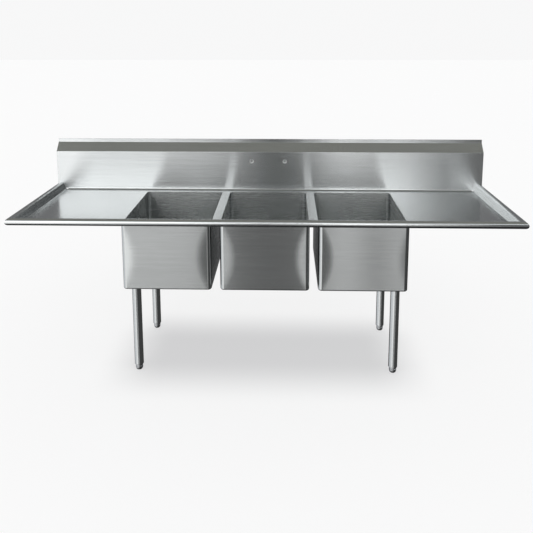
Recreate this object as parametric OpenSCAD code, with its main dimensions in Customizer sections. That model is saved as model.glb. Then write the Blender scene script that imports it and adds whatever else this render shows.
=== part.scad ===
// Three compartment sink with two drainboards, a sloped backsplash and four tube legs.
// Millimetres. +X runs along the sink to the right, the front faces -Y, and +Z is up.
// The origin is on the floor, under the middle of the whole sink.

/* [Overall size] */
// Full width, from one outer side rim to the other
overall_w = 2622; // [2400:2:2900]
// Front of the rolled rim to the back of the tile lip
overall_d = 768; // [740:1:820]
// Top of the rolled rim above the floor
rim_h = 892; // [840:1:960]
// Thickness of the steel sheet
sheet_t = 1.5; // [1.2:0.1:2]

/* [Bowls] */
// Outside width of a bowl
bowl_w = 463; // [400:1:480]
// Outside length of a bowl, front to back
bowl_d = 610; // [500:1:610]
// Deck surface to the underside of a bowl
bowl_h = 354; // [250:1:380]
// Distance between the centres of neighbouring bowls
bowl_pitch = 508; // [500:1:530]
// Inside radius of a bowl's upright corners
bowl_corner_r = 19; // [10:1:30]

/* [Rolled rim] */
// Radius of the roll
roll_r = 18.5; // [15:0.5:22]
// Height of the roll's centre above the deck
roll_rise = 25; // [22:0.2:32]
// Outer edge of the rim to the foot of its inner wall
rim_wall_foot = 50; // [46:0.5:56]
// Outer edge of the rim to the end of its flat inner flange
rim_w = 61.5; // [58:0.5:66]

/* [Backsplash] */
// Height of the upright face above the deck
splash_h = 239; // [150:1:300]
// Height of the sloped face
slope_h = 53; // [30:1:60]
// Run of the sloped face, front to back
slope_run = 45; // [30:1:50]
// Height of the tile lip
lip_h = 21; // [15:1:30]
// Thickness of the folded tile lip
lip_t = 3; // [2.5:0.1:4]
// Distance between the two faucet holes
faucet_centres = 203.2; // [200:0.1:210]
// Radius of a faucet hole
faucet_hole_r = 12.7; // [10:0.1:15]
// Height of the faucet holes above the deck
faucet_h = 181; // [100:1:200]

/* [Drains] */
// Radius of the drain opening in a bowl
drain_r = 44.5; // [43:0.1:46]
// Radius of the strainer's flange
strainer_flange_r = 57; // [54:0.5:60]
// Radius of the strainer's cup
strainer_cup_r = 42; // [40:0.1:42.5]
// Depth of the strainer's cup below the bowl floor
strainer_cup_h = 48; // [40:1:60]
// Outside radius of the drain outlet
outlet_r = 23.9; // [20:0.1:25]
// Length of the drain outlet below the cup
outlet_l = 32; // [20:1:45]

/* [Legs] */
// Outside radius of a leg tube
leg_r = 24; // [20:0.5:26]
// Distance of a leg's centre from the sink's middle, sideways
leg_x = 689; // [660:1:694]
// Distance of a leg's centre from its bowl's front or back face
leg_inset = 80; // [60:1:120]
// Height of a foot below its leg's insert
foot_h = 34; // [28:1:45]
// Height of a leg socket's collar
socket_h = 18; // [14:1:22]

/* [Hidden] */
$fn = 64;

steel = [0.76, 0.77, 0.78];
bright_steel = [0.84, 0.85, 0.86];
black_rubber = [0.08, 0.08, 0.08];
grey_fibre = [0.45, 0.44, 0.42];
foot_steel = [0.55, 0.56, 0.58];

// Heights above the floor
deck_z = rim_h - roll_r - roll_rise;
bowl_floor_z = deck_z - bowl_h + sheet_t;
bowl_under_z = deck_z - bowl_h;
// Places along Y
front_y = -overall_d / 2;
back_y = overall_d / 2;
bowl_front_y = front_y + rim_w;
bowl_back_y = bowl_front_y + bowl_d;
bowl_mid_y = (bowl_front_y + bowl_back_y) / 2;
splash_y = back_y - lip_t - slope_run;
// Places along X
side_x = overall_w / 2;
bowls_side_x = bowl_pitch + bowl_w / 2;
board_side_x = side_x - rim_w;
// The angle at which the rim's inner wall leaves the roll
wall_foot_run = rim_wall_foot - roll_r;
wall_angle = acos(roll_r / norm([wall_foot_run, roll_rise])) - atan2(roll_rise, wall_foot_run);
roll_end_angle = -75;
cap_drop = 25;
far = 4 * overall_w;
// Seal, washer and nut, stacked under the bowl
gasket_t = 3;
washer_t = 1;
locknut_h = 8;
locknut_lugs = 6;
cup_wall = 1.5;
outlet_bore_r = outlet_r - 1.8;
strainer_lip_t = 2;
nut_gap = 0.05;
// Basket
basket_r = 38.5;
basket_wall = 0.8;
basket_floor_drop = 40;
basket_hole_r = 2.4;
stopper_gap = 0.3;
// Legs
leg_wall = 1.5;
fit_gap = 0.05;
socket_r = 28.5;
socket_plate_w = 84;
socket_plate_t = 3;
insert_l = 40;
insert_flange_t = 3;
stem_r = 8;
stem_l = 62;
screw_r = 4;
leg_y = [bowl_front_y + leg_inset, bowl_back_y - leg_inset];
leg_top_z = bowl_under_z - socket_plate_t;
leg_bottom_z = foot_h + insert_flange_t;
// Stiffening channel under a drainboard
channel_h = 25;
channel_w = 50;
channel_flange = 15;
channel_inset = 6;

function polar(r, a) = [r * cos(a), r * sin(a)];

// A rectangle with round corners, centred
module rounded_rect(w, d, r) {
    square([w - 2 * r, d], center = true);
    square([w, d - 2 * r], center = true);
    for (x = [-1, 1], y = [-1, 1])
        translate([x * (w / 2 - r), y * (d / 2 - r)]) circle(r);
}

// A straight length of rolled rim along +Z: x runs inwards from the outer edge, y is height above the deck
module rim_bar(length) {
    roll = [roll_r, roll_rise];
    inner_top = roll + polar(roll_r - sheet_t, wall_angle);
    drop = (inner_top[1] + sheet_t) / cos(wall_angle);
    inner_foot = [inner_top[0] + drop * sin(wall_angle), -sheet_t];
    difference() {
        union() {
            translate(roll) cylinder(h = length, r = roll_r);
            linear_extrude(length)
                polygon([roll, roll + polar(roll_r, wall_angle), [rim_wall_foot, 0], [rim_w, 0],
                    [rim_w, -sheet_t], inner_foot, inner_top]);
        }
        translate([roll[0], roll[1], -1]) cylinder(h = length + 2, r = roll_r - sheet_t);
        translate([0, 0, -1])
            linear_extrude(length + 2)
                polygon([roll, roll + polar(3 * roll_r, roll_end_angle),
                    [inner_foot[0], -3 * roll_r], inner_foot, inner_top]);
    }
}

// The half space behind the mitre of the front left corner
module left_mitre() {
    translate([-side_x, front_y, 0]) rotate([0, 0, 45])
        translate([-far / 2, 0, 0]) cube([far, far, far]);
}

module front_rim() {
    color(steel)
        difference() {
            translate([-side_x, front_y, deck_z]) rotate([90, 0, 90]) rim_bar(overall_w);
            left_mitre();
            mirror([1, 0, 0]) left_mitre();
        }
}

module side_rim() {
    color(steel)
        intersection() {
            translate([-side_x, splash_y, deck_z]) rotate([90, 0, 0]) rim_bar(splash_y - front_y);
            left_mitre();
        }
}

module left_rim() { side_rim(); }

module right_rim() { mirror([1, 0, 0]) side_rim(); }

// Section of the backsplash: x runs back from the bowls' back face, y is height above the deck
module splash_section() {
    ledge = splash_y - bowl_back_y;
    run = slope_run;
    t = sheet_t;
    slant = atan2(slope_h, run);
    skew = t * tan((90 - slant) / 2);
    top = splash_h + slope_h;
    polygon([[0, 0], [ledge, 0], [ledge, splash_h], [ledge + run, top], [ledge + run, top + lip_h],
        [ledge + run + lip_t, top + lip_h], [ledge + run + lip_t, top - t],
        [ledge + run + t - skew, top - t], [ledge + t, splash_h - skew], [ledge + t, -t], [0, -t]]);
}

// The ledge stops short of the side rims, the upright face does not
module backsplash() {
    color(steel)
        difference() {
            translate([-side_x + sheet_t, bowl_back_y, deck_z]) rotate([90, 0, 90])
                linear_extrude(overall_w - 2 * sheet_t) splash_section();
            for (s = [-1, 1])
                translate([s * faucet_centres / 2, splash_y - 1, deck_z + faucet_h])
                    rotate([-90, 0, 0]) cylinder(h = sheet_t + 2, r = faucet_hole_r);
            for (s = [-1, 1])
                translate([s * (side_x + board_side_x) / 2 - rim_w / 2, bowl_back_y, deck_z - 2 * sheet_t])
                    cube([rim_w, splash_y - bowl_back_y, 3 * sheet_t]);
        }
}

// A flat cap welded over the end of the backsplash
module end_cap() {
    color(steel)
        translate([-side_x, splash_y, deck_z]) rotate([90, 0, 90])
            linear_extrude(sheet_t)
                polygon([[0, -cap_drop], [0, splash_h], [slope_run, splash_h + slope_h],
                    [slope_run, splash_h + slope_h + lip_h],
                    [slope_run + lip_t, splash_h + slope_h + lip_h], [slope_run + lip_t, -cap_drop]]);
}

module left_end_cap() { end_cap(); }

module right_end_cap() { mirror([1, 0, 0]) end_cap(); }

module drainboard() {
    color(steel)
        translate([-board_side_x, bowl_front_y, deck_z - sheet_t])
            cube([board_side_x - bowls_side_x, bowl_d, sheet_t]);
}

module left_drainboard() { drainboard(); }

module right_drainboard() { mirror([1, 0, 0]) drainboard(); }

// A hat-shaped stiffener under the middle of a drainboard
module channel() {
    half = channel_w / 2;
    t = sheet_t;
    color(steel)
        translate([-board_side_x + channel_inset, bowl_mid_y, deck_z - sheet_t]) rotate([90, 0, 90])
            linear_extrude(board_side_x - bowls_side_x - 2 * channel_inset)
                polygon([[-half - channel_flange, 0], [-half + t, 0], [-half + t, t - channel_h],
                    [half - t, t - channel_h], [half - t, 0], [half + channel_flange, 0],
                    [half + channel_flange, -t], [half, -t], [half, -channel_h],
                    [-half, -channel_h], [-half, -t], [-half - channel_flange, -t]]);
}

module left_channel() { channel(); }

module right_channel() { mirror([1, 0, 0]) channel(); }

// The flat strip of deck between two bowls
module divider() {
    color(steel)
        translate([-bowl_pitch + bowl_w / 2, bowl_front_y, deck_z - sheet_t])
            cube([bowl_pitch - bowl_w, bowl_d, sheet_t]);
}

module left_divider() { divider(); }

module right_divider() { mirror([1, 0, 0]) divider(); }

// Side is -1, 0 or 1: the left, middle or right bowl
module bowl(side) {
    color(steel)
        translate([side * bowl_pitch, bowl_mid_y, 0])
            difference() {
                union() {
                    translate([0, 0, bowl_under_z])
                        linear_extrude(bowl_h) rounded_rect(bowl_w, bowl_d, bowl_corner_r + sheet_t);
                    translate([-bowl_w / 2, -bowl_d / 2, deck_z - sheet_t])
                        cube([bowl_w, bowl_d, sheet_t]);
                }
                translate([0, 0, bowl_floor_z])
                    linear_extrude(bowl_h)
                        rounded_rect(bowl_w - 2 * sheet_t, bowl_d - 2 * sheet_t, bowl_corner_r);
                translate([0, 0, bowl_under_z - 1]) cylinder(h = sheet_t + 2, r = drain_r);
            }
}

module bowl_left() { bowl(-1); }

module bowl_middle() { bowl(0); }

module bowl_right() { bowl(1); }

// Puts a drain's pieces over its bowl's opening, with height 0 at the bowl floor
module at_drain(side) {
    translate([side * bowl_pitch, bowl_mid_y, bowl_floor_z]) children();
}

module strainer(side) {
    lip = strainer_lip_t;
    shoulder = -strainer_cup_h;
    color(bright_steel) at_drain(side)
        rotate_extrude()
            polygon([[strainer_cup_r - cup_wall, lip], [strainer_flange_r - 1, lip],
                [strainer_flange_r, lip - 1], [strainer_flange_r, 0], [strainer_cup_r, 0],
                [strainer_cup_r, shoulder], [outlet_r, shoulder], [outlet_r, shoulder - outlet_l],
                [outlet_bore_r, shoulder - outlet_l], [outlet_bore_r, shoulder + cup_wall],
                [strainer_cup_r - cup_wall, shoulder + cup_wall]]);
}

module strainer_left() { strainer(-1); }

module strainer_middle() { strainer(0); }

module strainer_right() { strainer(1); }

// A flat ring under the bowl floor: its top is drop below the floor's upper side
module under_ring(side, inner, outer, drop, h) {
    at_drain(side) translate([0, 0, -drop - h])
        difference() {
            cylinder(h = h, r = outer);
            translate([0, 0, -1]) cylinder(h = h + 2, r = inner);
        }
}

module gasket(side) {
    color(black_rubber)
        under_ring(side, drain_r - 1, strainer_flange_r, sheet_t, gasket_t);
}

module gasket_left() { gasket(-1); }

module gasket_middle() { gasket(0); }

module gasket_right() { gasket(1); }

module washer(side) {
    color(grey_fibre)
        under_ring(side, strainer_cup_r + 1, strainer_flange_r, sheet_t + gasket_t, washer_t);
}

module washer_left() { washer(-1); }

module washer_middle() { washer(0); }

module washer_right() { washer(1); }

module locknut(side) {
    drop = sheet_t + gasket_t + washer_t;
    ring_r = strainer_cup_r + 8;
    color(bright_steel) {
        under_ring(side, strainer_cup_r + nut_gap, ring_r, drop, locknut_h);
        at_drain(side)
            for (i = [0:locknut_lugs - 1])
                rotate([0, 0, i * 360 / locknut_lugs])
                    translate([ring_r - 1, -4, -drop - locknut_h]) cube([5, 8, locknut_h]);
    }
}

module locknut_left() { locknut(-1); }

module locknut_middle() { locknut(0); }

module locknut_right() { locknut(1); }

// A perforated cup with a centre post and a knob to lift it by
module basket(side) {
    floor_z = -basket_floor_drop;
    color(bright_steel) at_drain(side)
        difference() {
            rotate_extrude()
                polygon([[0, floor_z], [basket_r, floor_z], [basket_r, -1], [basket_r + 1.4, -1],
                    [basket_r + 1.4, 0], [basket_r - basket_wall, 0],
                    [basket_r - basket_wall, floor_z + basket_wall], [3, floor_z + basket_wall],
                    [3, 10], [8, 12], [8, 15], [5, 17], [0, 17]]);
            for (ring = [12, 20, 28], i = [0:ring / 2 - 1])
                rotate([0, 0, i * 720 / ring])
                    translate([ring, 0, floor_z - 1]) cylinder(h = 3, r = basket_hole_r);
            for (row = [0:2], i = [0:15])
                rotate([0, 0, i * 22.5 + row * 11.25])
                    translate([basket_r - 2, 0, floor_z + 8 + row * 10])
                        rotate([0, 90, 0]) cylinder(h = 4, r = basket_hole_r);
        }
}

module basket_left() { basket(-1); }

module basket_middle() { basket(0); }

module basket_right() { basket(1); }

// The rubber disc under the basket that closes the outlet
module stopper(side) {
    low = cup_wall - strainer_cup_h + stopper_gap;
    color(black_rubber) at_drain(side)
        rotate_extrude()
            polygon([[0, low], [outlet_r + 1, low], [outlet_r + 3, low + 2],
                [9, -basket_floor_drop], [0, -basket_floor_drop]]);
}

module stopper_left() { stopper(-1); }

module stopper_middle() { stopper(0); }

module stopper_right() { stopper(1); }

// Side is -1 for left and 1 for right; row is 0 for front and 1 for back
module at_leg(side, row) {
    translate([side * leg_x, leg_y[row], 0]) children();
}

// A plate welded under the bowl, with a collar that holds the leg
module socket(side, row) {
    color(steel) at_leg(side, row)
        difference() {
            union() {
                translate([-socket_plate_w / 2, -socket_plate_w / 2, leg_top_z])
                    cube([socket_plate_w, socket_plate_w, socket_plate_t]);
                translate([0, 0, leg_top_z - socket_h]) cylinder(h = socket_h, r = socket_r);
            }
            translate([0, 0, leg_top_z - socket_h - 1]) cylinder(h = socket_h + 1, r = leg_r + fit_gap);
            translate([0, 0, leg_top_z - socket_h / 2]) rotate([0, 90 * side, 0])
                cylinder(h = socket_r + 1, r = screw_r);
        }
}

module socket_front_left() { socket(-1, 0); }

module socket_front_right() { socket(1, 0); }

module socket_back_left() { socket(-1, 1); }

module socket_back_right() { socket(1, 1); }

module leg(side, row) {
    color(steel) at_leg(side, row) translate([0, 0, leg_bottom_z])
        difference() {
            cylinder(h = leg_top_z - leg_bottom_z, r = leg_r);
            translate([0, 0, -1]) cylinder(h = leg_top_z, r = leg_r - leg_wall);
        }
}

module leg_front_left() { leg(-1, 0); }

module leg_front_right() { leg(1, 0); }

module leg_back_left() { leg(-1, 1); }

module leg_back_right() { leg(1, 1); }

// The plug pressed into a leg's lower end, bored for the foot's stem
module insert(side, row) {
    color(foot_steel) at_leg(side, row) translate([0, 0, foot_h])
        difference() {
            union() {
                cylinder(h = insert_flange_t, r = leg_r);
                cylinder(h = insert_flange_t + insert_l, r = leg_r - leg_wall);
            }
            translate([0, 0, -1]) cylinder(h = insert_flange_t + insert_l + 2, r = stem_r + fit_gap);
        }
}

module insert_front_left() { insert(-1, 0); }

module insert_front_right() { insert(1, 0); }

module insert_back_left() { insert(-1, 1); }

module insert_back_right() { insert(1, 1); }

// A bullet foot: grooved body, rounded nose and the stem that screws into the insert
module foot(side, row) {
    color(foot_steel) at_leg(side, row)
        rotate_extrude()
            polygon([[0, 0], [10, 0], [14.5, 1.8], [17.5, 5.5], [19, 10.5], [19.5, foot_h - 11],
                [18.4, foot_h - 10], [18.4, foot_h - 9], [19.6, foot_h - 8], [19.6, foot_h - 1],
                [18.6, foot_h], [stem_r, foot_h], [stem_r, foot_h + stem_l], [0, foot_h + stem_l]]);
}

module foot_front_left() { foot(-1, 0); }

module foot_front_right() { foot(1, 0); }

module foot_back_left() { foot(-1, 1); }

module foot_back_right() { foot(1, 1); }

// The screw in each socket's collar that locks the leg
module set_screws() {
    color(foot_steel)
        for (side = [-1, 1], row = [0, 1])
            at_leg(side, row) translate([0, 0, leg_top_z - socket_h / 2]) rotate([0, 90 * side, 0])
                translate([0, 0, leg_r + fit_gap])
                    difference() {
                        cylinder(h = socket_r - leg_r, r = screw_r - fit_gap);
                        translate([0, 0, 1.5]) cylinder(h = socket_r, r = 2.3, $fn = 6);
                    }
}

front_rim();
left_rim();
right_rim();
backsplash();
left_end_cap();
right_end_cap();
left_drainboard();
right_drainboard();
left_channel();
right_channel();
left_divider();
right_divider();
bowl_left();
bowl_middle();
bowl_right();
strainer_left();
strainer_middle();
strainer_right();
gasket_left();
gasket_middle();
gasket_right();
washer_left();
washer_middle();
washer_right();
locknut_left();
locknut_middle();
locknut_right();
basket_left();
basket_middle();
basket_right();
stopper_left();
stopper_middle();
stopper_right();
socket_front_left();
socket_front_right();
socket_back_left();
socket_back_right();
leg_front_left();
leg_front_right();
leg_back_left();
leg_back_right();
insert_front_left();
insert_front_right();
insert_back_left();
insert_back_right();
foot_front_left();
foot_front_right();
foot_back_left();
foot_back_right();
set_screws();
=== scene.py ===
"""A three compartment scullery sink in brushed stainless steel, dressed around its CAD frame."""

import math

import bmesh
import bpy
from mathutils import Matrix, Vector


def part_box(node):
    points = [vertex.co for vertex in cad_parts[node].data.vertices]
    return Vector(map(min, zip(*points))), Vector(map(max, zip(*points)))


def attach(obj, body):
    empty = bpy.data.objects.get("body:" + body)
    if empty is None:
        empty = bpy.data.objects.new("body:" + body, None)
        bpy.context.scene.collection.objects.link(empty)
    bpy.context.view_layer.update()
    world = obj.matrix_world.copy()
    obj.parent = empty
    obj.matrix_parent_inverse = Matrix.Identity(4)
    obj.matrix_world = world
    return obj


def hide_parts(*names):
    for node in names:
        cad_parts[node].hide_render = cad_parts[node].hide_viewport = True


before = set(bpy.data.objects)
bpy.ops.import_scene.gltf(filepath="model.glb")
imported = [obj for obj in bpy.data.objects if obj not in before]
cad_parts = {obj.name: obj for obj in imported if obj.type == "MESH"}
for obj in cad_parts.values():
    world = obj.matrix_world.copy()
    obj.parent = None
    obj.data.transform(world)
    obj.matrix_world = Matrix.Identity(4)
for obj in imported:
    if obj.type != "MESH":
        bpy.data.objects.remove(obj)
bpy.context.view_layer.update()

# ---------------------------------------------------------------------------------------------
# Front rim. The front edge of the sink is a strip of 1.5 mm stainless sheet, pressed up from
# the deck and rolled over by more than half a turn, then mitred and welded to the side rims.
# Its metal is satin sheet with a horizontal grain, which all the pressed panels share.
# ---------------------------------------------------------------------------------------------
SHEET = 0.0015
ROLL_RADIUS = 0.0185
ROLL_END = math.radians(285)
FOOT_COVE = 0.005
RIM_WALL_FOOT = 0.050
DECK_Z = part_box("left_drainboard")[1].z
SPLASH_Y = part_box("right_rim")[1].y
FRONT_LOW, FRONT_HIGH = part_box("front_rim")
ROLL_RISE = FRONT_HIGH.z - DECK_Z - ROLL_RADIUS
UP = Vector((0, 0, 1))
BOWL_LOW, BOWL_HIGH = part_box("bowl_middle")
BOWL_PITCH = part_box("bowl_right")[0].x - BOWL_LOW.x
PILLOW_CURVE, PILLOW_HALF_HEIGHT = 0.36, 0.19
PILLOW_START, PILLOW_REACH = 0.214, 0.07
PILLOW_MIDDLE = (BOWL_LOW.z + BOWL_HIGH.z) / 2
INNER_ROUGHNESS = 0.1
# Two points nearer than CLOSE are taken as one place, and vertices nearer than WELD are joined.
CLOSE, WELD = 1e-4, 2e-5


class Value:
    """A number that a shader socket carries, so that shader maths reads as an expression."""

    def __init__(self, tree, socket):
        self.tree, self.socket = tree, socket

    def node(self, kind, settings=None, output=0, **sockets):
        """Adds a node: its settings first, then the values or links of its sockets."""
        made = self.tree.nodes.new(kind)
        for name, value in (settings or {}).items():
            if name == "stops":
                ramp = made.color_ramp.elements
                while len(ramp) < len(value):
                    ramp.new(0.5)
                for stop, (place, colour) in zip(ramp, value):
                    stop.position, stop.color = place, (*colour, 1)
            else:
                setattr(made, name, value)
        for name, value in sockets.items():
            key = int(name[1:]) if name[0] == "_" else name.replace("_", " ")
            if isinstance(value, Value):
                self.tree.links.new(value.socket, made.inputs[key])
            else:
                made.inputs[key].default_value = value
        return Value(self.tree, made.outputs[output])

    def maths(self, operation, first, second=0.0):
        return self.node("ShaderNodeMath", {"operation": operation}, _0=first, _1=second)

    def __add__(self, other):
        return self.maths("ADD", self, other)

    def __sub__(self, other):
        return self.maths("SUBTRACT", self, other)

    def __rsub__(self, other):
        return self.maths("SUBTRACT", other, self)

    def __mul__(self, other):
        return self.maths("MULTIPLY", self, other)

    __radd__, __rmul__ = __add__, __mul__

    def ramp(self, low, high, start=0.0, end=1.0):
        """Rises smoothly from start to end as the value goes from low to high."""
        return self.node("ShaderNodeMapRange", {"interpolation_type": "SMOOTHSTEP"},
                         _0=self, _1=low, _2=high, _3=start, _4=end)

    def mix(self, first, second):
        """Goes from the first colour or number to the second as the value goes from 0 to 1."""
        return self.node("ShaderNodeMix", {"data_type": "RGBA"}, output=2, _0=self, _6=first, _7=second)


def new_material(name, colour, roughness, metallic=1.0):
    """An empty material with its shader: returns the material, the shader and a starting value."""
    material = bpy.data.materials.new(name)
    material.use_nodes = True
    shader = material.node_tree.nodes["Principled BSDF"]
    shader.inputs["Base Color"].default_value = (*colour, 1)
    shader.inputs["Roughness"].default_value = roughness
    shader.inputs["Metallic"].default_value = metallic
    return material, shader, Value(material.node_tree, None)


def brushed_sheet(name, flat_grain, roughness=0.2, smear=0.0, colour=(0.595, 0.612, 0.614), pillow=None):
    """Satin sheet: fine scratches run level on upright faces and along flat_grain on level ones.

    Pillow is the spacing of panels that swell a little, so that reflections bow near their edges.
    """
    material, shader, start = new_material(name, colour, roughness)
    tree = material.node_tree
    place = start.node("ShaderNodeTexCoord", output=3)
    normal = start.node("ShaderNodeNewGeometry", output=1)
    facing = start.node("ShaderNodeSeparateXYZ", output=2, _0=normal)
    level = start.maths("ABSOLUTE", facing).ramp(0.55, 0.85)
    grains = []
    for scale in (1400.0, 260.0):
        along = scale * 0.008
        stretch = (along, scale, scale) if flat_grain == "X" else (scale, along, scale)
        upright = place.node("ShaderNodeMapping", _0=place, _3=(along, along, scale))
        lying = place.node("ShaderNodeMapping", _0=place, _3=stretch)
        marks = [place.node("ShaderNodeTexNoise", Vector=m, Scale=1.0, Detail=2.0) for m in (upright, lying)]
        grains.append(level.mix(marks[0], marks[1]))
    clouds = place.node("ShaderNodeTexNoise", Vector=place, Scale=3.5, Detail=2.0)
    scratches = grains[0] * 0.6 + grains[1] * 0.4
    tone = scratches.ramp(0.35, 0.65).mix((*[c * 0.96 for c in colour], 1), (*[c * 1.04 for c in colour], 1))
    tree.links.new(tone.socket, shader.inputs["Base Color"])
    rough = scratches.ramp(0.3, 0.7, roughness - 0.02, roughness + 0.02) + clouds.ramp(0.3, 0.7, -0.01, 0.015)
    rough = rough * start.maths("ABSOLUTE", facing).ramp(0.3, 0.6, 1.0, 0.6 if smear else 1.0)
    waves = place.node("ShaderNodeTexNoise", Vector=place, Scale=2.2, Detail=0.0)
    swell = place.node("ShaderNodeBump", Strength=0.3, Distance=0.0012, Height=waves)
    if pillow:
        over, back, up = (place.node("ShaderNodeSeparateXYZ", output=i, _0=place) for i in (0, 1, 2))
        rough = rough + back.ramp(BOWL_LOW.y + 0.002, BOWL_LOW.y + 0.03, 0.0, INNER_ROUGHNESS)
        turned = start.maths("PINGPONG", over, pillow / 2)
        above = (up - PILLOW_MIDDLE) * (1 / PILLOW_HALF_HEIGHT)
        begins = above * above * PILLOW_REACH + (PILLOW_START - PILLOW_REACH)
        past = start.maths("MAXIMUM", turned - begins)
        bulge = past * past * -1.0
        swell = place.node("ShaderNodeBump", Strength=1.0, Distance=PILLOW_CURVE, Height=bulge, Normal=swell)
    tree.links.new(rough.socket, shader.inputs["Roughness"])
    bump = place.node("ShaderNodeBump", Strength=0.02, Distance=0.0002, Height=scratches, Normal=swell)
    tree.links.new(bump.socket, shader.inputs["Normal"])
    shader.inputs["Anisotropic"].default_value = smear
    shader.inputs["Anisotropic Rotation"].default_value = 0.25
    return material


def nothing_selected():
    if bpy.context.mode != "OBJECT":
        bpy.ops.object.mode_set(mode="OBJECT")
    bpy.ops.object.select_all(action="DESELECT")


def settle(name):
    """Names the new primitive and applies its place and size to its mesh."""
    piece = bpy.context.object
    piece.name = piece.data.name = name
    bpy.ops.object.transform_apply(location=True, rotation=True, scale=True)
    return piece


def lay_sheet(name, low, high):
    """A flat sheet on the deck's level between two corners."""
    nothing_selected()
    middle = ((low[0] + high[0]) / 2, (low[1] + high[1]) / 2, low[2])
    bpy.ops.mesh.primitive_plane_add(size=1, location=middle)
    bpy.context.object.scale = (high[0] - low[0], high[1] - low[1], 1)
    return settle(name)


def choose(piece, kind, test):
    """In edit mode, selects just the verts, edges or faces whose middle passes the test."""
    bpy.context.view_layer.objects.active = piece
    if bpy.context.mode != "EDIT_MESH":
        bpy.ops.object.mode_set(mode="EDIT")
    bpy.ops.mesh.select_mode(type={"verts": "VERT", "edges": "EDGE", "faces": "FACE"}[kind])
    bpy.ops.mesh.select_all(action="DESELECT")
    mesh = bmesh.from_edit_mesh(piece.data)
    for item in getattr(mesh, kind):
        points = [item.co] if kind == "verts" else [v.co for v in item.verts]
        if test(sum(points, Vector()) / len(points), item):
            item.select_set(True)
    bmesh.update_edit_mesh(piece.data)


def pull(along):
    """Draws the selected edge out by a vector, leaving new sheet behind it."""
    bpy.ops.mesh.extrude_region_move(TRANSFORM_OT_translate={"value": along})


def bend(centre, axis, angle, steps):
    """Rolls the selected edge round an axis, leaving curved sheet behind it."""
    bpy.ops.mesh.spin(steps=steps, angle=angle, center=centre, axis=axis)


def modify(piece, kind, **settings):
    """Adds a modifier and applies it."""
    nothing_selected()
    piece.select_set(True)
    bpy.context.view_layer.objects.active = piece
    modifier = piece.modifiers.new(kind.title(), kind)
    for name, value in settings.items():
        setattr(modifier, name, value)
    bpy.ops.object.modifier_apply(modifier=modifier.name)


def finish_piece(piece, body, slot, material, *replaced, grain=(0, 1, 0)):
    """Smooth shading, material, and the piece's place in the frame.

    The polish runs at right angles to grain, and the texture space is set far off to turn it so.
    """
    piece.data.use_auto_texspace = False
    piece.data.texspace_size = (1, 1, 1)
    piece.data.texspace_location = Vector(grain) * -50
    nothing_selected()
    piece.select_set(True)
    bpy.context.view_layer.objects.active = piece
    bpy.ops.object.shade_smooth_by_angle(angle=math.radians(32))
    modify(piece, "WEIGHTED_NORMAL", weight=100, keep_sharp=True)
    piece.data.materials.clear()
    piece.data.materials.append(material)
    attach(piece, body)
    if replaced:
        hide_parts(*replaced)
    return piece


sheet_x = brushed_sheet("sheet_grain_across", "X")
sheet_y = brushed_sheet("sheet_grain_front_to_back", "Y")
upright_sheet = brushed_sheet("sheet_upright_panels", "X", roughness=0.23, smear=1.0)
bowl_sheet = brushed_sheet("sheet_bowls", "X", roughness=0.16, smear=0.95, colour=(0.575, 0.592, 0.59),
                           pillow=BOWL_PITCH)


def mitre(piece, corner, keep):
    """Cuts the piece along the upright plane through a corner, and closes the cut."""
    bpy.context.view_layer.objects.active = piece
    bpy.ops.object.mode_set(mode="EDIT")
    bpy.ops.mesh.select_all(action="SELECT")
    bpy.ops.mesh.bisect(plane_co=corner, plane_no=keep, use_fill=True, clear_inner=True)
    bpy.ops.object.mode_set(mode="OBJECT")


def rolled_rim(name, low, high, inward):
    """Presses one straight rim: its flange lies between two corners, and inward is a unit vector."""
    piece = lay_sheet(name, low, high)
    edge_middle = Vector(((low[0] + high[0]) / 2, (low[1] + high[1]) / 2, 0))
    reach = abs((Vector(high) - Vector(low)).dot(inward)) / 2
    outer = edge_middle - inward * reach
    choose(piece, "edges", lambda middle, item: abs((middle - outer).dot(inward)) < CLOSE)
    along = inward.cross(UP)
    foot_run = RIM_WALL_FOOT - ROLL_RADIUS
    lean = math.acos(ROLL_RADIUS / math.hypot(foot_run, ROLL_RISE)) - math.atan2(ROLL_RISE, foot_run)
    turn = math.pi / 2 - lean
    cove_run = FOOT_COVE * math.tan(turn / 2)
    level = Vector((outer.x, outer.y, DECK_Z))
    bend(level + UP * FOOT_COVE, along, turn, 6)
    wall = math.sqrt(foot_run**2 + ROLL_RISE**2 - ROLL_RADIUS**2) - cove_run
    pull((UP * math.cos(lean) - inward * math.sin(lean)) * wall)
    edge_at = (level - inward * (cove_run * (1 + math.sin(lean)) + wall * math.sin(lean))
               + UP * (wall + cove_run) * math.cos(lean))
    roll = edge_at - (inward * math.cos(lean) + UP * math.sin(lean)) * ROLL_RADIUS
    bend(roll, -along, ROLL_END - lean, 40)
    bpy.ops.object.mode_set(mode="OBJECT")
    modify(piece, "SOLIDIFY", thickness=SHEET, offset=-1)
    return piece


SIDE_X = FRONT_HIGH.x
RIM_WIDTH = FRONT_HIGH.y - FRONT_LOW.y
WALL_LEAN = math.radians(24)
COVE_RUN = FOOT_COVE * math.tan((math.pi / 2 - WALL_LEAN) / 2)
FLANGE_START = RIM_WALL_FOOT + COVE_RUN
front_rim = rolled_rim("front_rim_sheet", (-SIDE_X, FRONT_LOW.y + FLANGE_START, DECK_Z),
                       (SIDE_X, FRONT_HIGH.y, DECK_Z), Vector((0, 1, 0)))
for side in (-1, 1):
    mitre(front_rim, (side * SIDE_X, FRONT_LOW.y, 0), (-side, -1, 0))
finish_piece(front_rim, "sink", "brushed_sheet", sheet_x, "front_rim")

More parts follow.
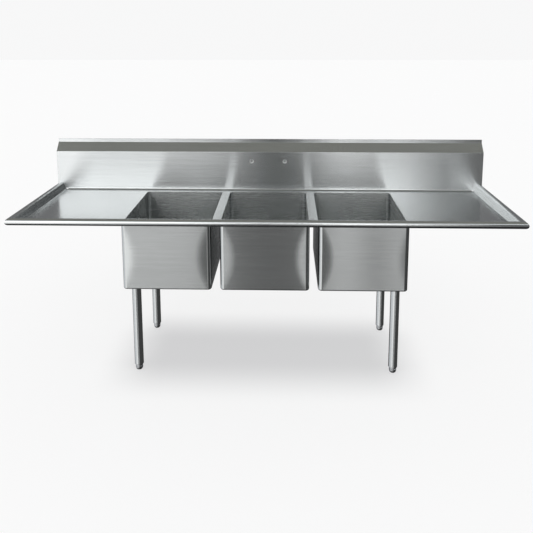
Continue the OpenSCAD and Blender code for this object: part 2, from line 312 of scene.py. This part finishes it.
# ---------------------------------------------------------------------------------------------
# Side rims. The same pressed and rolled strip, running back along each drainboard and welded
# to the backsplash, with its grain along its own length.
# ---------------------------------------------------------------------------------------------
for side, word in ((-1, "left"), (1, "right")):
    inner, outer = side * (SIDE_X - RIM_WIDTH), side * (SIDE_X - FLANGE_START)
    side_rim = rolled_rim(f"{word}_rim_sheet", (min(inner, outer), FRONT_LOW.y, DECK_Z),
                          (max(inner, outer), SPLASH_Y, DECK_Z), Vector((-side, 0, 0)))
    mitre(side_rim, (side * SIDE_X, FRONT_LOW.y, 0), (side, 1, 0))
    finish_piece(side_rim, "sink", "brushed_sheet", sheet_y, f"{word}_rim", grain=(1, 0, 0))

# ---------------------------------------------------------------------------------------------
# Backsplash. One sheet pressed from the ledge behind the bowls: coved up, leaned back in a
# 45 degree return, turned up again into a tile lip, and folded flat over the lip's edge.
# ---------------------------------------------------------------------------------------------
SPLASH_LOW, SPLASH_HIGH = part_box("backsplash")
LIP = 0.003
SPLASH_RISE, LIP_RISE, SLOPE_RUN = 0.239, 0.021, 0.045
SLOPE_RISE = SPLASH_HIGH.z - DECK_Z - SPLASH_RISE - LIP_RISE
SPLASH_COVE, BEND = 0.011, 0.003
FAUCET_CENTRES, FAUCET_RISE, FAUCET_RADIUS = 0.2032, 0.181, 0.0127
splash = lay_sheet("backsplash_sheet", (SPLASH_LOW.x, SPLASH_LOW.y, DECK_Z),
                   (SPLASH_HIGH.x, SPLASH_Y - SPLASH_COVE, DECK_Z))
choose(splash, "edges", lambda middle, item: middle.y > SPLASH_Y - SPLASH_COVE - CLOSE)
slant = math.atan2(SLOPE_RUN, SLOPE_RISE)
tuck = BEND * math.tan(slant / 2)
bend((0, SPLASH_Y - SPLASH_COVE, DECK_Z + SPLASH_COVE), (-1, 0, 0), math.pi / 2, 8)
pull(UP * (SPLASH_RISE - SPLASH_COVE - tuck))
bend((0, SPLASH_Y + BEND, DECK_Z + SPLASH_RISE - tuck), (1, 0, 0), slant, 5)
slope_way = Vector((0, math.sin(slant), math.cos(slant)))
pull(slope_way * (math.hypot(SLOPE_RUN, SLOPE_RISE) - 2 * tuck))
lip_y = SPLASH_Y + SLOPE_RUN
slope_top = DECK_Z + SPLASH_RISE + SLOPE_RISE
bend((0, lip_y - BEND, slope_top + tuck), (-1, 0, 0), slant, 5)
pull(UP * (LIP_RISE - tuck - LIP / 2))
bend((0, lip_y + LIP / 2, SPLASH_HIGH.z - LIP / 2), (1, 0, 0), math.pi, 8)
pull(-UP * (LIP_RISE - 0.004))
bpy.ops.object.mode_set(mode="OBJECT")
modify(splash, "SOLIDIFY", thickness=SHEET * 0.96, offset=-1)
for side in (-1, 1):
    nothing_selected()
    bpy.ops.mesh.primitive_cylinder_add(
        vertices=48, radius=FAUCET_RADIUS, depth=0.02,
        location=(side * FAUCET_CENTRES / 2, SPLASH_Y, DECK_Z + FAUCET_RISE), rotation=(math.pi / 2, 0, 0))
    punch = settle("punch")
    modify(splash, "BOOLEAN", object=punch, operation="DIFFERENCE", solver="EXACT")
    bpy.data.objects.remove(punch)
for side in (-1, 1):
    nothing_selected()
    bpy.ops.mesh.primitive_cube_add(
        size=1, location=(side * (SIDE_X - RIM_WIDTH / 2), SPLASH_Y - 0.1 - SHEET / 2, DECK_Z))
    bpy.context.object.scale = (RIM_WIDTH + CLOSE, 0.2, 0.02)
    room = settle("room_for_rim")
    modify(splash, "BOOLEAN", object=room, operation="DIFFERENCE", solver="EXACT")
    bpy.data.objects.remove(room)
finish_piece(splash, "sink", "brushed_sheet", upright_sheet, "backsplash")

# ---------------------------------------------------------------------------------------------
# Faucet hole caps. A thin pressed stainless button snaps into each faucet hole until a faucet is
# fitted: a shallow dome. Its colour holds a painted highlight, a bright ring round a middle painted dark.
# ---------------------------------------------------------------------------------------------
CAP_RADIUS, CAP_DEPTH = 0.0121, 0.004
cap_satin_painted_rim, shader, start = new_material("cap_satin_painted_rim", (0.6, 0.61, 0.61), 0.4)
place = start.node("ShaderNodeTexCoord", output=3)
from_middle = start.maths("PINGPONG", start.node("ShaderNodeSeparateXYZ", output=0, _0=place), 0.3)
over = from_middle - FAUCET_CENTRES / 2
up = start.node("ShaderNodeSeparateXYZ", output=2, _0=place) - (DECK_Z + FAUCET_RISE)
outward = start.maths("SQRT", over * over + up * up)
grit = place.node("ShaderNodeTexNoise", Vector=place, Scale=900.0, Detail=2.0)
# Painted highlight: the cap's colour is bright on a ring near its rim and dark in its middle, standing in for
# the light its rounded edge catches.
painted_rim_highlight = outward.ramp(0.0066, 0.008) * outward.ramp(0.0095, 0.0108, 1.0, 0.4)
tone = painted_rim_highlight.mix((0.3, 0.31, 0.31, 1), (0.86, 0.87, 0.87, 1))
rough = painted_rim_highlight.ramp(0, 1, 0.3, 0.45) + grit.ramp(0.3, 0.7, -0.04, 0.04)
cap_satin_painted_rim.node_tree.links.new(tone.socket, shader.inputs["Base Color"])
cap_satin_painted_rim.node_tree.links.new(rough.socket, shader.inputs["Roughness"])
for side, word in ((-1, "left"), (1, "right")):
    middle = Vector((side * FAUCET_CENTRES / 2, SPLASH_Y, DECK_Z + FAUCET_RISE))
    nothing_selected()
    bpy.ops.mesh.primitive_circle_add(
        vertices=48, radius=CAP_RADIUS, fill_type="NOTHING", location=middle + Vector((0, CAP_DEPTH, 0)),
        rotation=(math.pi / 2, 0, 0))
    cap = settle(f"{word}_hole_cap")
    choose(cap, "edges", lambda m, item: True)
    pull((0, -CAP_DEPTH, 0))
    for shrink, step in ((0.96, -0.0006), (0.9, -0.0003), (0.84, 0.0003), (0.78, 0.0008)):
        bpy.ops.mesh.extrude_region_move(TRANSFORM_OT_translate={"value": (0, step, 0)})
        bpy.ops.transform.resize(value=(shrink, 1, shrink), center_override=middle)
    bpy.ops.mesh.edge_face_add()
    bpy.ops.mesh.inset(thickness=0.003)
    bpy.ops.transform.translate(value=(0, -0.0004, 0))
    bpy.ops.mesh.select_all(action="SELECT")
    bpy.ops.mesh.normals_make_consistent(inside=False)
    bpy.ops.object.mode_set(mode="OBJECT")
    modify(cap, "SOLIDIFY", thickness=0.0006, offset=-1)
    finish_piece(cap, "sink", "brushed_sheet", cap_satin_painted_rim)

# ---------------------------------------------------------------------------------------------
# Bowls. Each is pressed from one satin sheet with coved corners and a drain opening in its flat
# floor, and its edge is rounded over and welded into the deck.
# ---------------------------------------------------------------------------------------------
DRAIN_RADIUS, RECESS_RADIUS = 0.0445, 0.060
CORNER, FLOOR_COVE = 0.019, 0.008
for word in ("left", "middle", "right"):
    low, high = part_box(f"bowl_{word}")
    inner_low, inner_high = low + Vector((SHEET, SHEET, SHEET)), high - Vector((SHEET, SHEET, 0))
    middle = (inner_low + inner_high) / 2
    size = inner_high - inner_low
    nothing_selected()
    bpy.ops.mesh.primitive_cube_add(size=1, location=middle)
    bpy.context.object.scale = size
    bowl = settle(f"bowl_{word}_pressing")
    choose(bowl, "faces", lambda m, item: m.z > inner_high.z - CLOSE)
    bpy.ops.mesh.delete(type="ONLY_FACE")
    choose(bowl, "edges", lambda m, item: abs(m.z - middle.z) < CLOSE)
    bpy.ops.mesh.bevel(offset=CORNER, segments=8, affect="EDGES")
    choose(bowl, "edges", lambda m, item: m.z < inner_low.z + CLOSE and len(item.link_faces) == 2
           and any(abs(f.normal.z) < 0.5 for f in item.link_faces))
    bpy.ops.mesh.bevel(offset=FLOOR_COVE, segments=6, affect="EDGES")
    choose(bowl, "faces", lambda m, item: m.z < inner_low.z + CLOSE and abs(item.normal.z) > 0.99)
    bpy.ops.mesh.delete(type="ONLY_FACE")
    bpy.ops.mesh.select_mode(type="EDGE")
    bpy.ops.mesh.select_all(action="DESELECT")
    bpy.ops.mesh.primitive_circle_add(
        vertices=48, radius=RECESS_RADIUS, location=(middle.x, middle.y, inner_low.z))
    choose(bowl, "edges", lambda m, item: m.z < inner_low.z + CLOSE and len(item.link_faces) < 2)
    bpy.ops.mesh.bridge_edge_loops()
    choose(bowl, "edges", lambda m, item: (m - middle).xy.length < RECESS_RADIUS + CLOSE
           and len(item.link_faces) < 2)
    bpy.ops.mesh.extrude_region_move()
    shrink = DRAIN_RADIUS / RECESS_RADIUS
    bpy.ops.transform.resize(value=(shrink, shrink, 1), center_override=(middle.x, middle.y, inner_low.z))
    bpy.ops.mesh.select_all(action="SELECT")
    bpy.ops.mesh.remove_doubles(threshold=WELD)
    choose(bowl, "edges", lambda m, item: m.z > inner_high.z - CLOSE and len(item.link_faces) < 2)
    bpy.ops.mesh.extrude_region_move()
    shape = bmesh.from_edit_mesh(bowl.data)
    centre_x, centre_y = size.x / 2 - CORNER, size.y / 2 - CORNER
    for v in shape.verts:
        if v.select:
            away = v.co - middle
            spoke = Vector((away.x - max(-centre_x, min(centre_x, away.x)),
                            away.y - max(-centre_y, min(centre_y, away.y))))
            grow = (CORNER + SHEET) / max(abs(spoke.x), abs(spoke.y))
            v.co.x += spoke.x * (grow - 1)
            v.co.y += spoke.y * (grow - 1)
    bmesh.update_edit_mesh(bowl.data)
    bpy.ops.mesh.select_mode(type="EDGE")
    choose(bowl, "edges", lambda m, item: m.z > inner_high.z - CLOSE and len(item.link_faces) == 2
           and min(abs(f.normal.z) for f in item.link_faces) < 0.5)
    bpy.ops.mesh.bevel(offset=SHEET * 0.9, segments=4, affect="EDGES")
    bpy.ops.mesh.select_all(action="SELECT")
    bpy.ops.mesh.normals_make_consistent(inside=True)
    bpy.ops.object.mode_set(mode="OBJECT")
    modify(bowl, "SOLIDIFY", thickness=SHEET, offset=1)
    finish_piece(bowl, "sink", "brushed_sheet", bowl_sheet, f"bowl_{word}")

# ---------------------------------------------------------------------------------------------
# Flat panels. The drainboards, the dividers between the bowls, the caps on the ends of the
# backsplash and the hat channels under the drainboards are plain cut and folded sheet.
# ---------------------------------------------------------------------------------------------


def finish_cad(node, material):
    """Gives a CAD node its material."""
    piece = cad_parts[node]
    piece.data.materials.clear()
    piece.data.materials.append(material)


for word in ("left", "right"):
    finish_cad(f"{word}_drainboard", sheet_x)
    finish_cad(f"{word}_channel", sheet_x)
    finish_cad(f"{word}_divider", sheet_y)
    finish_cad(f"{word}_end_cap", sheet_y)

# ---------------------------------------------------------------------------------------------
# Drains. A spun and polished stainless strainer sits in each bowl's floor, sealed by a moulded
# rubber gasket and a pressed fibre washer, and is clamped from below by a lugged locknut. The
# perforated basket and the rubber stopper under it lift out together.
# ---------------------------------------------------------------------------------------------


def plain_finish(name, light, dark, roughness, metallic, grain, depth):
    """A fine, even surface: two close tones, a roughness to match and a shallow relief."""
    material, shader, start = new_material(name, light, roughness, metallic)
    links = material.node_tree.links
    place = start.node("ShaderNodeTexCoord", output=3)
    speckle = place.node("ShaderNodeTexNoise", Vector=place, Scale=grain, Detail=3.0)
    wear = place.node("ShaderNodeTexNoise", Vector=place, Scale=grain * 0.06, Detail=2.0)
    tone = (speckle * 0.6 + wear * 0.4).ramp(0.35, 0.65).mix((*dark, 1), (*light, 1))
    links.new(tone.socket, shader.inputs["Base Color"])
    links.new((wear.ramp(0.35, 0.65, -0.04, 0.05) + roughness).socket, shader.inputs["Roughness"])
    relief = place.node("ShaderNodeBump", Strength=0.3, Distance=depth, Height=speckle)
    links.new(relief.socket, shader.inputs["Normal"])
    return material


polished = plain_finish("polished_steel", (0.74, 0.75, 0.76), (0.66, 0.67, 0.68), 0.12, 1.0, 900.0, 0.00003)
rubber = plain_finish("moulded_rubber", (0.035, 0.035, 0.036), (0.02, 0.02, 0.021), 0.62, 0.0, 700.0, 0.0002)
fibre = plain_finish("pressed_fibre", (0.42, 0.37, 0.30), (0.30, 0.26, 0.21), 0.8, 0.0, 900.0, 0.0002)
for word in ("left", "middle", "right"):
    finish_cad(f"strainer_{word}", polished)
    finish_cad(f"locknut_{word}", polished)
    finish_cad(f"basket_{word}", polished)
    finish_cad(f"gasket_{word}", rubber)
    finish_cad(f"stopper_{word}", rubber)
    finish_cad(f"washer_{word}", fibre)

# ---------------------------------------------------------------------------------------------
# Leg sockets. A cast stainless collar on a square plate, its edges rounded, welded under the
# bowl. A hexagon socket screw in the collar locks the leg.
# ---------------------------------------------------------------------------------------------
CORNERS = [f"{row}_{side}" for row in ("front", "back") for side in ("left", "right")]
turned = plain_finish("turned_steel", (0.52, 0.53, 0.54), (0.42, 0.43, 0.44), 0.26, 1.0, 1100.0, 0.00005)
for corner in CORNERS:
    finish_cad(f"socket_{corner}", sheet_x)
    finish_cad(f"insert_{corner}", turned)
finish_cad("set_screws", turned)

# ---------------------------------------------------------------------------------------------
# Legs. Welded stainless tube with a satin polish along its length, cut square, with its lower
# edge broken where it is pressed over the insert of the foot.
# ---------------------------------------------------------------------------------------------
leg_satin = brushed_sheet("leg_tube_satin", "Y", roughness=0.19)
TUBE_WALL = 0.0015
for corner in CORNERS:
    low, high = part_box(f"leg_{corner}")
    middle = (low + high) / 2
    radius = (high.x - low.x) / 2
    nothing_selected()
    bpy.ops.mesh.primitive_cylinder_add(
        vertices=96, radius=radius, depth=high.z - low.z, end_fill_type="NOTHING", location=middle)
    tube = settle(f"leg_{corner}_tube")
    modify(tube, "SOLIDIFY", thickness=TUBE_WALL, offset=-1)
    modify(tube, "BEVEL", width=0.0005, segments=2, limit_method="ANGLE")
    finish_piece(tube, "sink", "leg_tube", leg_satin, f"leg_{corner}")

# ---------------------------------------------------------------------------------------------
# Bullet feet. Turned stainless: a rounded nose that stands on the floor, a tapered body, a
# grooved collar to turn by hand, and the stem that screws into the leg's insert.
# ---------------------------------------------------------------------------------------------
STEM_RADIUS = 0.008
FOOT_PROFILE = (
    (0, 0), (0.0085, 0), (0.0115, 0.0006), (0.0142, 0.0022), (0.0164, 0.0046), (0.0179, 0.0076),
    (0.0188, 0.011), (0.0192, 0.015), (0.0195, 0.0225), (0.0190, 0.0233), (0.0184, 0.0238),
    (0.0184, 0.0248), (0.0188, 0.0254), (0.0196, 0.0262), (0.0196, 0.0326), (0.0193, 0.0336),
    (0.0186, 0.034), (STEM_RADIUS, 0.034))
for corner in CORNERS:
    low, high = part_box(f"foot_{corner}")
    middle = (low + high) / 2
    nothing_selected()
    bpy.ops.mesh.primitive_plane_add(size=1, location=(middle.x, middle.y, low.z))
    foot = settle(f"foot_{corner}_turned")
    bpy.ops.object.mode_set(mode="EDIT")
    bpy.ops.mesh.select_mode(type="VERT")
    bpy.ops.mesh.select_all(action="SELECT")
    bpy.ops.mesh.merge(type="CENTER")
    reached = Vector((0, 0))
    tall = high.z - low.z
    stem_end = ((STEM_RADIUS, tall - 0.001), (STEM_RADIUS - 0.001, tall), (0, tall))
    for radius, height in FOOT_PROFILE[1:] + stem_end:
        step = Vector((radius, height)) - reached
        pull(Vector((step.x, 0, step.y)))
        reached = Vector((radius, height))
    bpy.ops.mesh.select_all(action="SELECT")
    bpy.ops.mesh.spin(steps=64, angle=2 * math.pi, center=(middle.x, middle.y, low.z), axis=(0, 0, 1))
    bpy.ops.mesh.select_all(action="SELECT")
    bpy.ops.mesh.remove_doubles(threshold=WELD)
    bpy.ops.mesh.normals_make_consistent(inside=False)
    bpy.ops.object.mode_set(mode="OBJECT")
    finish_piece(foot, f"foot_{corner}", "foot_steel", turned, f"foot_{corner}")

# ---------------------------------------------------------------------------------------------
# Studio. A pale floor that glows evenly, with a soft shadow painted darker into its glow under the bowls,
# an even white surround for the floor, and a studio of soft panels that only the steel mirrors. The camera
# stands where the view of the sink asks for.
# ---------------------------------------------------------------------------------------------
nothing_selected()
bpy.ops.mesh.primitive_plane_add(size=60, location=(0, 0, 0))
floor = settle("floor")
paper, paper_shader, start = new_material("studio_floor", (0.24, 0.24, 0.24), 0.9, metallic=0.0)
paper_shader.inputs["Specular IOR Level"].default_value = 0.0
paper_shader.inputs["Emission Strength"].default_value = 1.0
# Painted shadow: the floor's even glow is painted darker in a soft patch under the bowls, in place of the
# shadow the sink casts.
spot = start.node("ShaderNodeTexCoord", output=3)
spot_x, spot_y = (spot.node("ShaderNodeSeparateXYZ", output=i, _0=spot) for i in (0, 1))
painted_floor_shadow = (start.maths("ABSOLUTE", spot_x).ramp(0.55, 0.95, 1.0, 0.0)
         * start.maths("ABSOLUTE", spot_y + 0.05).ramp(0.1, 0.5, 1.0, 0.0))
floor_glow_with_painted_shadow = painted_floor_shadow.mix((0.725, 0.725, 0.725, 1), (0.47, 0.47, 0.475, 1))
paper.node_tree.links.new(floor_glow_with_painted_shadow.socket, paper_shader.inputs["Emission Color"])
floor.data.materials.append(paper)
floor.visible_glossy = False

world = bpy.data.worlds.new("studio")
bpy.context.scene.world = world
world.use_nodes = True
sky = Value(world.node_tree, None)
way = sky.node("ShaderNodeTexCoord", output=0)
across, forward, upward = (way.node("ShaderNodeSeparateXYZ", output=i, _0=way) for i in range(3))
azimuth = sky.maths("ARCTAN2", across, forward * -1.0) * (180 / math.pi)
elevation = sky.maths("ARCSINE", upward) * (180 / math.pi)
REACH = 45.0
LOW_PANELS = (
    (-45, 1.1), (-28, 1.35), (-19.5, 1.2), (-18, 0.85), (-16.5, 0.68), (-9.5, 0.64), (-8.4, 0.54),
    (-7, 0.36), (-5.2, 0.18), (1.6, 0.17), (3, 0.3), (4.4, 0.6), (5.4, 0.66), (7.4, 0.62), (8.2, 0.4),
    (9.6, 0.38), (10.6, 0.58), (14, 0.56), (17, 0.32), (20, 0.15), (26, 0.08))
HIGH_PANELS = (
    (-45, 1.1), (-28, 2.0), (-21, 2.5), (-12.6, 2.5), (-11, 2.3), (-6, 2.0), (-4.4, 1.4), (-3, 0.03),
    (1, 0.03), (2.8, 1.2), (4.4, 3.0), (6.4, 3.0), (8, 1.5), (9.6, 2.4), (11.6, 2.2), (13.6, 0.8),
    (16.5, 0.2), (18.5, 0.04), (26, 0.03))


def lit_panels(panels):
    """A row of soft light panels: each pair is an azimuth in degrees and the brightness there."""
    stops = [((angle + REACH) / (2 * REACH), (level / 2,) * 3) for angle, level in panels]
    return azimuth.node("ShaderNodeValToRGB", {"stops": stops}, _0=azimuth * (0.5 / REACH) + 0.5) * 2.0


front_light = elevation.ramp(-50, -32, 0.08, 1.0) * lit_panels(LOW_PANELS)
front_light = elevation.ramp(-8, 4).mix(front_light, lit_panels(HIGH_PANELS))
CEILING = (0.26, 0.26, 0.238, 1)
front_light = elevation.ramp(27, 34).mix(front_light, (1.25, 1.28, 1.31, 1))
front_light = elevation.ramp(41, 48).mix(front_light, CEILING)
back_light = elevation.ramp(32, 56).mix((0.22, 0.22, 0.225, 1), CEILING)
back_light = elevation.ramp(-30, -5).mix((0.05, 0.05, 0.05, 1), back_light)
behind = forward.ramp(-0.35, 0.15)
studio = behind.mix(front_light, back_light)
left_side = across.ramp(-0.9, -0.6, 1.0, 0.0) * elevation.ramp(28, 46, 1.0, 0.0)
right_side = across.ramp(0.45, 0.6) * elevation.ramp(28, 46, 1.0, 0.0)
studio = left_side.mix(studio, (0.85, 0.87, 0.9, 1))
studio = right_side.mix(studio, elevation.ramp(2, 20).mix((0.07, 0.07, 0.07, 1), (1.0, 1.02, 1.05, 1)))
path = world.node_tree.nodes.new("ShaderNodeLightPath")
plain = sky.maths("MAXIMUM", Value(world.node_tree, path.outputs["Is Camera Ray"]),
                  Value(world.node_tree, path.outputs["Is Diffuse Ray"]))
FLOOD = 1.25
flood = elevation.ramp(30, 65, 1.4, 0.4) * forward.ramp(-0.8, 0.8, 1.25, 0.75) * FLOOD
seen = Value(world.node_tree, path.outputs["Is Camera Ray"]).mix(flood, (0.935, 0.935, 0.937, 1))
shown = plain.mix(studio, seen)
background = world.node_tree.nodes["Background"]
world.node_tree.links.new(shown.socket, background.inputs["Color"])

PITCH, YAW = 0.1539, -0.025
camera_data = bpy.data.cameras.new("camera")
camera_data.lens = 39.81
camera_data.sensor_width = 36.0
camera_data.shift_x, camera_data.shift_y = -0.0094, -0.2785
camera = bpy.data.objects.new("camera", camera_data)
bpy.context.scene.collection.objects.link(camera)
camera.location = (0.1093, FRONT_HIGH.y - 2.882, 1.849)
camera.rotation_euler = (math.pi / 2 - PITCH, 0.001, -YAW)
bpy.context.scene.camera = camera
bpy.context.scene.view_settings.view_transform = "Standard"
